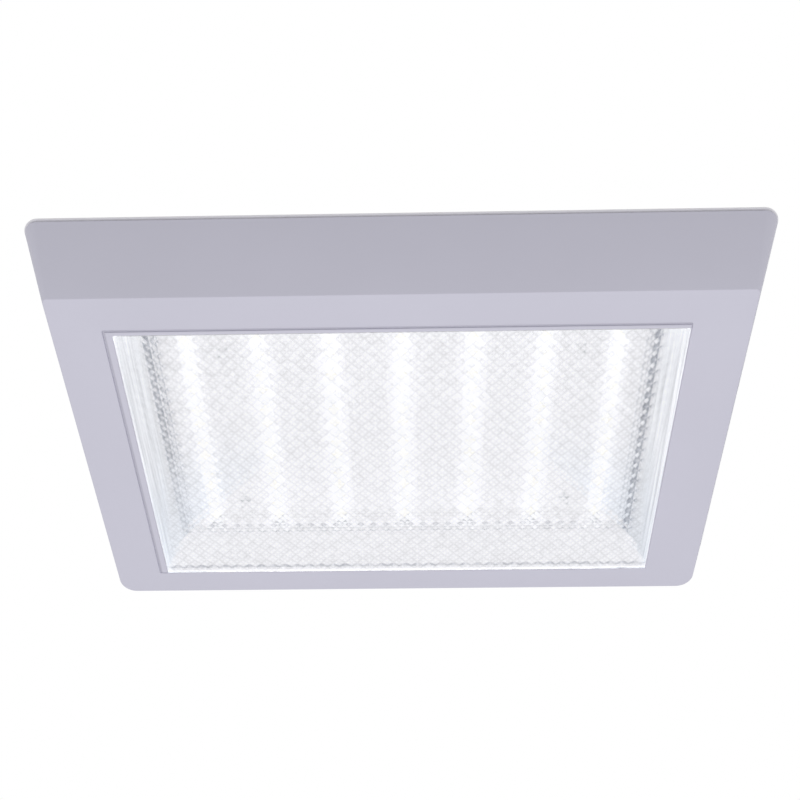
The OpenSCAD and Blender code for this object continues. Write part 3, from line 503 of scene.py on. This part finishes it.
def tray_material():
    """White reflector with painted light where its boards would light it: soft stripes, painted
    shade in folds.
    """
    g = Graph("tray_reflector_painted_light")
    x, y, z = g.axes()
    right, deep = g.sub(x, LENS_C.x), g.sub(y, LENS_C.y)
    from_middle_x, from_middle_y = g.math("ABSOLUTE", right), g.math("ABSOLUTE", deep)
    inside_x, inside_y = g.sub(ROOF_HALF_W, from_middle_x), g.sub(ROOF_HALF_D, from_middle_y)
    on_wall = g.smooth(g.math("MINIMUM", inside_x, inside_y), WALL_SPAN, 1.0, 0.0)
    at_end = g.smooth(g.sub(inside_y, inside_x), SIDE_SPAN)
    at_side = g.smooth(g.sub(inside_x, inside_y), SIDE_SPAN)
    at_right = g.smooth(right, RIGHT_SPAN)
    at_left = g.without(at_right)

    def spots(low):
        return g.smooth(g.noise(SPOT_SCALE), SPOT_SPAN, low, 1.0)

    # Painted shade of the folds: two creases at the ends, a thin fold along the near and far sides,
    # and the bead
    outer, inner = (g.smooth(g.apart(inside_x, place), CREASE_SPAN, 1.0, 0.0)
                    for place in (OUTER_CREASE, INNER_CREASE))
    inner_depth = g.smooth(at_right, (0.0, 1.0), 1.0, RIGHT_INNER_DEPTH)
    left_fade = g.mul(g.smooth(deep, LEFT_FADE_SPAN, LEFT_FADE_NEAR, LEFT_FADE_FAR), at_left)
    end_fold_shade = g.mul(g.largest(outer, g.mul(inner, inner_depth)), at_end)
    end_fold_shade = g.mul(g.mul(end_fold_shade, g.without(left_fade)), spots(END_SPOT_LOW))
    side_fold_shade = g.smooth(g.math("ABSOLUTE", inside_y), SIDE_FOLD_SPAN, 1.0, 0.0)
    side_fold_shade = g.mul(side_fold_shade, SIDE_FOLD_DEPTH)
    bead = g.mul(g.smooth(g.apart(z, BEAD_Z), BEAD_SPAN, 1.0, 0.0), BEAD_DEPTH)
    side_fold_shade = g.mul(g.mul(g.largest(side_fold_shade, bead), at_side), spots(SIDE_SPOT_LOW))
    fold_shade = g.largest(end_fold_shade, side_fold_shade)

    # Painted light on the walls
    streaks = g.noise(STREAK_SCALE, detail=3, rough=0.6, stretch=STREAK_STRETCH)
    wall = g.add(g.mul(streaks, STREAK_DEPTH), WALL_PAINTED_LIGHT - STREAK_MEAN)
    to_far = g.smooth(deep, END_SPAN)
    left_loss = g.smooth(to_far, (0.0, 1.0), LEFT_LOSS_NEAR, LEFT_LOSS_FAR)
    right_loss = g.smooth(to_far, (0.0, 1.0), RIGHT_LOSS_NEAR, RIGHT_LOSS_FAR)
    end_loss = g.add(g.mul(left_loss, at_left), g.mul(right_loss, at_right))
    wall = g.sub(wall, g.mul(end_loss, at_end))
    tint = g.mix(g.mul(to_far, at_end), LIGHT_COLOUR, FAR_END_COLOUR)

    # Painted light on the roof
    stripe = g.smooth(g.off_lattice(x, BOARD_PITCH, BOARD_MIDDLE), STRIPE_SPAN, STRIPE_PAINTED_LIGHT, 0.0)
    near_corner = g.mul(g.smooth(from_middle_x, CORNER_SPAN_X),
                        g.smooth(deep, CORNER_SPAN_Y, 1.0, 0.0))
    roof = g.add(stripe, g.smooth(deep, FAR_SPAN, ROOF_PAINTED_LIGHT, ROOF_PAINTED_LIGHT + FAR_GAIN))
    roof = g.sub(roof, g.mul(near_corner, CORNER_LOSS))
    roof = g.sub(roof, g.smooth(deep, NEAR_SPAN, NEAR_LOSS, 0.0))
    roof = g.sub(roof, g.smooth(from_middle_x, ENDS_SPAN, 0.0, ENDS_LOSS))

    level = g.add(g.mul(on_wall, wall), g.mul(g.without(on_wall), roof))
    g.glow(tint, g.mul(level, g.without(g.mul(fold_shade, FOLD_SHADE_DIMS))))
    g.set("Base Color", g.mix(fold_shade, REFLECTOR_COLOUR, FOLD_SHADE_COLOUR))
    g.gloss(g.noise(scale=900), start=0.5, uneven=0.2)
    g.bump(g.noise(scale=1600), strength=0.1, distance=GRAIN_DEPTH)
    return g.material


def board_material():
    """White solder mask, with painted light for the light that the chips on it cast."""
    g = Graph("board_mask_painted_light")
    speck = g.noise(scale=900, detail=3)
    g.set("Base Color", g.ramp(speck, NOISE_SPAN, (0.34, 0.34, 0.34), (0.38, 0.38, 0.38)))
    g.gloss(speck, start=0.3, uneven=0.15)
    g.glow((0.97, 0.98, 1.0), BOARD_PAINTED_LIGHT)
    g.bump(speck, strength=0.1, distance=GRAIN_DEPTH)
    return g.material


def chip_material():
    """Lit phosphor."""
    g = Graph("chip_phosphor")
    speck = g.noise(scale=2500)
    g.set("Base Color", g.ramp(speck, NOISE_SPAN, (0.36, 0.35, 0.28), (0.40, 0.39, 0.32)))
    g.glow((1.0, 0.98, 0.93), CHIP_GLOW)
    return g.material


# ---- The lens's material ----

# Painted light that the lens gives off, for the light that it passes on from the lit tray
LENS_PAINTED_LIGHT = 0.145
LENS_PAINTED_LIGHT_COLOUR = (0.96, 0.97, 1.0)
CLEAR_COLOUR, CLEAR_END_COLOUR = (0.952, 0.952, 0.965), (0.925, 0.94, 0.965)
LINE_SHADE_COLOUR = (0.785, 0.785, 0.795)
LENS_IOR = 1.49

# Lines of painted shade between the prisms and between the small domes on them: their spans, as
# shares of their pitch, and how strong they are; the rest of the surface counts as a weak line
EDGE_SPAN, EDGE_LINE = (0.03, 0.25), 0.92
RIDGE_SPAN, RIDGE_LINE = (0.04, 0.40), 0.64
LINE_REST = 0.07
LINE_SHADE_LOSS = 0.07
# The lines are uneven
LINE_NOISE_SCALE, LINE_NOISE_SPAN, LINE_NOISE_LOW = 160, (0.30, 0.60), 0.70
# Each cell has its own brightness of painted light, and a soft noise adds to it
TONE_NOISE_SCALE, TONE_NOISE, TONE_DEPTH = 300, 0.8, 0.09
# Relief of the domes and of a ripple; the small domes are half as high as those of a whole prism
RELIEF_DEPTH = 0.06 * MM
DOME_SPAN, SMALL_DOME = (0.0, 0.5), 0.5
RIPPLE_SCALE, RIPPLE_DEPTH = 260, 0.2
# Margins bright with painted light, as places across and along the lens
LEFT_MARGIN = (2.0 * MM, 3.0 * MM)
RIGHT_MARGIN = (LENS_W - 4.0 * MM, LENS_W - 3.0 * MM)
FAR_MARGIN, FAR_MARGIN_GAIN = (LENS_D - 4.5 * MM, LENS_D - 3.5 * MM), 1.3
MARGIN_PAINTED_LIGHT = 0.08
# The pattern fades towards the two ends, further from them at the near side than at the far side
FADE_ALONG = (0.10, LENS_D)
FADE_NEAR, FADE_FAR = 21 * MM, 6 * MM
FADE_SPAN = (-5 * MM, 5 * MM)
# There only streaks from the moulding show, drawn into the painted light
MOULD_SCALE, MOULD_STRETCH, MOULD_DEPTH = 450, (1, 0.02, 0), 0.70
# Only the lower surface is patterned
LOWER_SPAN = (lens_low.z + 1.0 * MM, lens_low.z + 1.5 * MM)
# Painted light on the edge of the sheet, outside the window, where it gathers light
RIM_SPAN, RIM_PAINTED_LIGHT = (0.0, 1.0 * MM), 0.30


def lens_material():
    """Clear acrylic: painted shade on the edges of its prisms, and painted light in its margins,
    which gather light.
    """
    g = Graph("clear_acrylic_painted_light")
    x, y, z = g.axes()
    from_middle_x, from_middle_y = g.apart(x, LENS_C.x), g.apart(y, LENS_C.y)
    across, along = g.sub(x, LENS_C.x - LENS_W / 2), g.sub(y, LENS_C.y - LENS_D / 2)
    diagonals = g.add(across, along), g.sub(across, along)
    lower = g.smooth(z, LOWER_SPAN, 1.0, 0.0)
    fade_at = g.smooth(along, FADE_ALONG, FADE_NEAR, FADE_FAR)
    inner = g.smooth(g.sub(g.sub(LENS_W / 2, from_middle_x), fade_at), FADE_SPAN)

    # Lines of painted shade, cells and relief of the pattern
    off_edges = [g.off_lattice(value, PITCH) for value in diagonals]
    off_ridges = [g.off_lattice(value, PITCH / 2) for value in diagonals]
    edges = [g.smooth(value, EDGE_SPAN, EDGE_LINE, LINE_REST) for value in off_edges]
    ridges = [g.smooth(value, RIDGE_SPAN, RIDGE_LINE, LINE_REST) for value in off_ridges]
    line = g.mul(g.largest(*edges, *ridges), inner)
    line = g.mul(line, g.smooth(g.noise(LINE_NOISE_SCALE), LINE_NOISE_SPAN, LINE_NOISE_LOW, 1.0))
    domes, small_domes = (g.smooth(g.math("MINIMUM", *off), DOME_SPAN)
                          for off in (off_edges, off_ridges))
    relief = g.mul(g.add(g.mul(small_domes, SMALL_DOME), domes), lower)
    uneven = g.mul(g.sub(g.noise(TONE_NOISE_SCALE, detail=1), NOISE_MEAN), TONE_NOISE)
    tone = g.add(g.sub(g.cell_tone(*diagonals, PITCH / 2), NOISE_MEAN), uneven)
    clear = g.mix(inner, CLEAR_END_COLOUR, CLEAR_COLOUR)
    g.set("Base Color", g.mix(g.mul(line, lower), clear, LINE_SHADE_COLOUR))
    g.set("Transmission Weight", 1.0)
    g.set("IOR", LENS_IOR)
    ripple = g.noise(RIPPLE_SCALE)
    g.gloss(ripple, start=0.10, uneven=0.06)
    g.bump(g.add(relief, g.mul(ripple, RIPPLE_DEPTH)), strength=1.0, distance=RELIEF_DEPTH)

    # Painted light that the lens gives off
    margin = g.largest(g.smooth(across, RIGHT_MARGIN), g.smooth(across, LEFT_MARGIN, 1.0, 0.0),
                       g.smooth(along, FAR_MARGIN, 0.0, FAR_MARGIN_GAIN))
    streaks = g.noise(MOULD_SCALE, rough=0.6, stretch=MOULD_STRETCH)
    streaks = g.mul(g.sub(streaks, NOISE_MEAN), g.without(inner))
    level = g.sub(g.add(g.mul(margin, MARGIN_PAINTED_LIGHT), LENS_PAINTED_LIGHT), g.mul(line, LINE_SHADE_LOSS))
    level = g.add(level, g.mul(g.mul(tone, inner), TONE_DEPTH))
    level = g.add(level, g.mul(streaks, MOULD_DEPTH))
    level = g.largest(g.mul(level, lower), 0.0)
    outside = g.largest(g.sub(from_middle_x, LENS_W / 2), g.sub(from_middle_y, LENS_D / 2))
    g.glow(LENS_PAINTED_LIGHT_COLOUR, g.add(level, g.smooth(outside, RIM_SPAN, 0.0, RIM_PAINTED_LIGHT)))
    return g.material


# ---- Dressing ----

WIRES = ("jumper_wires", "mains_wires", "earth_wire")
# Edges sharper than this stay crisp, in degrees; wires have their own limit
CRISP_SMOOTH, SOFT_SMOOTH = 30, 50


def dress(material, *names):
    """Gives CAD nodes a material and smooth shading with crisp edges; no mesh point moves."""
    for name in names:
        limit = SOFT_SMOOTH if name in WIRES else CRISP_SMOOTH
        mesh = nodes[name].data
        mesh.materials.clear()
        mesh.materials.append(material)
        for polygon in mesh.polygons:
            polygon.use_smooth = True
        mesh.set_sharp_from_angle(angle=math.radians(limit))


def finish_piece(obj, material, body, slot, *replaced):
    """Gives a piece its material, its body and the CAD nodes that it stands for; the slot is not
    used.
    """
    obj.data.materials.clear()
    obj.data.materials.append(material)
    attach(obj, body)
    if replaced:
        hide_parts(*replaced)


# ---- Canopy ----

def corner_at(z, at_face):
    """Radius of an upright corner of the outer surface at a height."""
    return at_face + (RIM_CORNER - at_face) * (z - FACE_Z) / RISE


def bend_points(radius, start, end, centre_in, centre_z):
    """Points round a bend of the sheet's profile, between two angles from straight down to outside.

    Each point is a distance in from the line where the face and a side would meet, and a height."""
    angles = (start + (end - start) * i / BEND_STEPS for i in range(BEND_STEPS + 1))
    return [(centre_in - radius * math.sin(a), centre_z - radius * math.cos(a)) for a in angles]


def canopy_loops():
    """Loops of the folded sheet, from the face's outer bend up, over the lip and back inside."""
    lean = math.atan(SLOPE_D)
    turn = math.pi / 2 - lean
    rim_turn = math.pi - turn
    wall = SHEET / math.cos(lean)
    rim_in = -RISE * SLOPE_D
    lip_in = rim_in + LIP_W
    inner_top = RIM_Z - SHEET
    profile = bend_points(BEND_R, 0, turn, BEND_R * math.tan(turn / 2), FACE_Z + BEND_R)
    profile += bend_points(RIM_BEND_R, turn, math.pi,
                           rim_in + RIM_BEND_R * math.tan(rim_turn / 2), RIM_Z - RIM_BEND_R)
    profile += [(lip_in - EDGE_R, RIM_Z), (lip_in, RIM_Z - EDGE_R),
                (lip_in, inner_top + EDGE_R), (lip_in - EDGE_R, inner_top),
                (-(inner_top - FACE_Z) * SLOPE_D + wall, inner_top),
                (wall - SHEET * SLOPE_D, FACE_Z + SHEET)]
    loops = []
    for inward, z in profile:
        set_in = inward + (z - FACE_Z) * SLOPE_D
        near, far = (max(corner_at(z, r) - set_in, INNER_CORNER) for r in (NEAR_CORNER, FAR_CORNER))
        loops.append(loop_points(FACE_W / 2 - inward + (SLOPE_W - SLOPE_D) * (z - FACE_Z),
                                 FACE_D / 2 - inward, near, far, z))
    return loops


def opening_loops(low, high):
    """Loops round the hole in the face, from its upper edge down to its rounded lower edge."""
    angles = (math.pi / 2 * i / BEND_STEPS for i in range(BEND_STEPS + 1))
    rounded = [(OPENING_R * (1 - math.cos(a)), low + OPENING_R * (1 - math.sin(a))) for a in angles]
    return [loop_points(OPENING_W / 2 + extra, OPENING_D / 2 + extra,
                        OPENING_CORNER + extra, OPENING_CORNER + extra, z, OPENING_C)
            for extra, z in [(0, high)] + rounded]


def make_canopy():
    loops = opening_loops(FACE_Z, FACE_Z + SHEET) + canopy_loops()
    canopy = loft("canopy_shell", loops, CANOPY_SMOOTH)
    lip_y = canopy_high.y - LIP_W
    notches = []
    for side in ("left", "right"):
        low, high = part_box("hinge_bracket_" + side)
        notches.append(((low.x - NOTCH_SIDE, lip_y - NOTCH_FRONT, RIM_Z - SHEET - NOTCH_OVER),
                        (high.x + NOTCH_SIDE, canopy_high.y - NOTCH_BACK, RIM_Z + NOTCH_OVER)))
    cut_away(canopy, notches)
    shade_by_angle(canopy, CANOPY_SMOOTH)
    finish_piece(canopy, canopy_paint, "canopy", "canopy_paint", "canopy")


make_canopy()


# ---- Lens and its frame ----

def make_lens():
    """Clear sheet whose middle fills the opening and carries square pyramids that point down."""
    tip_z, low_z, top_z = lens_low.z, lens_high.z - LENS_T, lens_high.z
    base_z = tip_z + PRISM_H
    half_w, half_d = (lens_high.x - lens_low.x) / 2, (lens_high.y - lens_low.y) / 2
    pad_w, pad_d = LENS_W / 2 - LENS_AIR, LENS_D / 2 - LENS_AIR
    step = PITCH / 2
    columns, rows = round(LENS_W / step), round(LENS_D / step)

    # The lattice's odd points are the pyramids' tips and its even points their corners; the
    # outermost points lie on the flat margin, half a pyramid wide, at the level of the tips
    def lattice(i, j):
        inside = 1 < i < columns - 1 and 0 < j < rows - 1
        x = min(max(i * step - LENS_W / 2, -pad_w), pad_w)
        y = min(max(j * step - LENS_D / 2, -pad_d), pad_d)
        z = base_z if inside and (i + j) % 2 == 0 else tip_z
        return LENS_C.x + x, LENS_C.y + y, z

    def point(i, j):
        return i * (rows + 1) + j

    verts = [lattice(i, j) for i in range(columns + 1) for j in range(rows + 1)]
    faces = []
    for i in range(columns):
        for j in range(rows):
            a, b, c, d = point(i, j), point(i + 1, j), point(i + 1, j + 1), point(i, j + 1)
            faces += [(a, b, d), (b, c, d)] if (i + j) % 2 == 0 else [(a, b, c), (a, c, d)]
    edge = ([point(i, 0) for i in range(columns)]
            + [point(columns, j) for j in range(rows)]
            + [point(i, rows) for i in range(columns, 0, -1)]
            + [point(0, j) for j in range(rows, 0, -1)])
    corner_of_edge = (0, columns, columns + rows, 2 * columns + rows)

    # Sides of the raised middle, the shoulder round it, the outer sides and the top
    start = len(verts)
    for z, w, d in ((low_z, pad_w, pad_d), (low_z, half_w, half_d), (top_z, half_w, half_d)):
        for sx, sy in ((-1, -1), (1, -1), (1, 1), (-1, 1)):
            verts.append((LENS_C.x + sx * w, LENS_C.y + sy * d, z))
    for k in range(4):
        n = (k + 1) % 4
        first, last = corner_of_edge[k], corner_of_edge[n] if n else len(edge)
        side = [edge[m % len(edge)] for m in range(first, last + 1)]
        faces.append(tuple(side + [start + n, start + k]))
        faces.append((start + k, start + n, start + 4 + n, start + 4 + k))
        faces.append((start + 4 + k, start + 4 + n, start + 8 + n, start + 8 + k))
    faces.append(tuple(start + 8 + k for k in range(4)))
    lens = mesh_object("prism_lens", verts, faces)
    finish_piece(lens, lens_material(), "canopy", "lens_clear", "lens")


make_lens()
dress(frame_material(), "lens_frame")
dress(foam, "lens_gasket")

# ---- Light tray and the small pieces ----

dress(tray_material(), "reflector_tray")
dress(board_material(), *["led_board_%d" % (i + 1) for i in range(BOARDS)])
dress(chip_material(), "led_chips")
dress(zinc, "tray_rails", "tray_screws", "board_screws", "driver_screws", "earth_stud",
      "hinge_bracket_left", "hinge_bracket_right", "hinge_leaf_left", "hinge_leaf_right",
      "hinge_screws", "latch_screws", "clip_studs",
      "turn_clip_1", "turn_clip_2", "turn_clip_3", "turn_clip_4")
dress(dark_steel, "hinge_pins")
dress(spring_metal, "lens_clips")
dress(brass_metal, "terminal_screws", "earth_nut", "clip_nuts")
dress(pan_coat_painted_light, "ceiling_pan")
dress(driver_plastic, "driver")
dress(terminal_plastic, "terminal_block")
dress(acetal_grey, "latch_body_left", "latch_body_right")
dress(acetal_white, "latch_bolt_left", "latch_bolt_right")
dress(rubber, "cable_grommet")
dress(wire_white, "jumper_wires")
dress(wire_brown, "mains_wires")
dress(earth_wire_material(), "earth_wire")


# ---- Latch springs ----

SPRING_WIRE = 0.2 * MM
SPRING_TURNS, SPRING_CLOSED = 6.5, 0.75
SPRING_STEPS, SPRING_SIDES = 20, 8
# Closed turns lie this many wire radii apart, and the wire is drawn a little thinner, so that they
# don't meet
CLOSED_PITCH, DRAWN_WIRE = 2.05, 0.95


def make_spring(side):
    """A coiled spring with closed ends, between the bolt and the far end of the latch's body."""
    low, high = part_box("latch_spring_" + side)
    centre = (low + high) / 2
    coil_r = (high.x - low.x) / 2 - SPRING_WIRE
    closed_rise = CLOSED_PITCH * SPRING_WIRE * SPRING_CLOSED
    start, end = low.y + SPRING_WIRE, high.y - SPRING_WIRE
    open_rise = end - start - 2 * closed_rise
    points = []
    for i in range(int(SPRING_TURNS * SPRING_STEPS) + 1):
        turn = i / SPRING_STEPS
        a = 2 * math.pi * turn
        if turn < SPRING_CLOSED:
            y = start + closed_rise * turn / SPRING_CLOSED
        elif turn > SPRING_TURNS - SPRING_CLOSED:
            y = end - closed_rise * (SPRING_TURNS - turn) / SPRING_CLOSED
        else:
            share = (turn - SPRING_CLOSED) / (SPRING_TURNS - 2 * SPRING_CLOSED)
            y = start + closed_rise + open_rise * share
        points.append((centre.x + coil_r * math.cos(a), y, centre.z + coil_r * math.sin(a)))
    spring = tube("coil_spring_" + side, points, SPRING_WIRE * DRAWN_WIRE, SPRING_SIDES)
    finish_piece(spring, spring_metal, "base", "spring_steel", "latch_spring_" + side)
    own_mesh(spring)


make_spring("left")
make_spring("right")


# ---- Lead from the driver to the first board ----

LEAD_R, LEAD_APART, LEAD_BEND = 0.9 * MM, 3 * MM, 4 * MM
# How far inside the driver the wires begin
LEAD_START = 10 * MM


def bent_route(corners, bend):
    """A route through corners, with each inner corner rounded."""
    route = [Vector(corners[0])]
    for before, corner, after in zip(corners, corners[1:], corners[2:]):
        before, corner, after = Vector(before), Vector(corner), Vector(after)
        start = corner + (before - corner).normalized() * bend
        end = corner + (after - corner).normalized() * bend
        for i in range(BEND_STEPS + 1):
            t = i / BEND_STEPS
            route.append(start * (1 - t) ** 2 + corner * 2 * t * (1 - t) + end * t ** 2)
    return route + [Vector(corners[-1])]


def make_lead():
    """Two red wires from the driver's near end, along the pan and down to the first board."""
    low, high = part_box("led_lead")
    run_z, hole_y = high.z - LEAD_R, high.y - LEAD_R
    for k in (0, 1):
        x, y = low.x + LEAD_R + LEAD_APART * k, low.y + LEAD_R + LEAD_APART * k
        down_x = high.x - LEAD_R - LEAD_APART * k
        corners = [(x, driver_low.y + LEAD_START, run_z), (x, y, run_z), (down_x, y, run_z),
                   (down_x, hole_y, run_z), (down_x, hole_y, low.z)]
        wire = tube("lead_wire_%d" % (k + 1), bent_route(corners, LEAD_BEND), LEAD_R)
        finish_piece(wire, wire_red, "base", "wire_red", "led_lead")


make_lead()


# ---- Camera, light and floor ----

# The camera's place and turn come from the photograph's perspective
FOCAL_PX, IMAGE_PX, SENSOR_MM = 871.1, 800, 36
CLIP_START = 0.01
CAMERA_AT = Vector((0.0097, -0.4621, -0.6621))
CAMERA_FORWARD = Vector((-0.01502, 0.56376, 0.8258)).normalized()
CAMERA_RIGHT = Vector((0.99981, 0.01879, 0.00535))
FLOOR_Z, FLOOR_HALF = -2.35, 6
WORLD_LEVEL = 0.61
LAMP_SIZE, LAMP_POWER = 3.0, 34
LAMP_AT = (0, -0.3, FLOOR_Z + 0.1)
WHITE = (1, 1, 1, 1)


def make_camera():
    data = bpy.data.cameras.new("camera")
    data.sensor_width = SENSOR_MM
    data.lens = FOCAL_PX / IMAGE_PX * SENSOR_MM
    data.clip_start = CLIP_START
    camera = bpy.data.objects.new("camera", data)
    bpy.context.scene.collection.objects.link(camera)
    right = (CAMERA_RIGHT - CAMERA_RIGHT.dot(CAMERA_FORWARD) * CAMERA_FORWARD).normalized()
    up = right.cross(CAMERA_FORWARD)
    axes = Matrix((right, up, -CAMERA_FORWARD)).transposed()
    camera.matrix_world = Matrix.Translation(CAMERA_AT) @ axes.to_4x4()
    bpy.context.scene.camera = camera


def shows_white(tree):
    """1 for camera, glossy and transmission rays, 0 for all others."""
    path = tree.nodes.new("ShaderNodeLightPath")
    seen = path.outputs["Is Camera Ray"]
    for ray in ("Is Glossy Ray", "Is Transmission Ray"):
        either = tree.nodes.new("ShaderNodeMath")
        either.operation = "MAXIMUM"
        tree.links.new(seen, either.inputs[0])
        tree.links.new(path.outputs[ray], either.inputs[1])
        seen = either.outputs[0]
    return seen


def make_world():
    """Soft light from all round, that is seen as white."""
    world = bpy.data.worlds.new("studio")
    bpy.context.scene.world = world
    world.use_nodes = True
    tree = world.node_tree
    tree.nodes.clear()
    mix = tree.nodes.new("ShaderNodeMixShader")
    tree.links.new(shows_white(tree), mix.inputs[0])
    for socket, strength in ((mix.inputs[1], WORLD_LEVEL), (mix.inputs[2], 1.0)):
        background = tree.nodes.new("ShaderNodeBackground")
        background.inputs["Color"].default_value = WHITE
        background.inputs["Strength"].default_value = strength
        tree.links.new(background.outputs[0], socket)
    out = tree.nodes.new("ShaderNodeOutputWorld")
    tree.links.new(mix.outputs[0], out.inputs[0])


def make_floor():
    corners = [(sx * FLOOR_HALF, sy * FLOOR_HALF, FLOOR_Z)
               for sx, sy in ((-1, -1), (1, -1), (1, 1), (-1, 1))]
    floor = mesh_object("floor", corners, [(0, 1, 2, 3)])
    g = Graph("pale_floor")
    clouds = g.noise(scale=1.5)
    g.set("Base Color", g.ramp(clouds, NOISE_SPAN, (0.80, 0.80, 0.80), (0.83, 0.83, 0.83)))
    g.set("Roughness", 0.8)
    floor.data.materials.append(g.material)


def make_lamp():
    """A large soft lamp above the floor that shines up."""
    data = bpy.data.lights.new("soft_lamp", "AREA")
    data.shape = "SQUARE"
    data.size = LAMP_SIZE
    data.energy = LAMP_POWER
    lamp = bpy.data.objects.new("soft_lamp", data)
    lamp.location = LAMP_AT
    lamp.rotation_euler = (math.pi, 0, 0)
    bpy.context.scene.collection.objects.link(lamp)
    lamp.visible_camera = False


make_camera()
make_world()
make_floor()
make_lamp()
bpy.context.scene.view_settings.view_transform = "Standard"

bpy.context.view_layer.update()
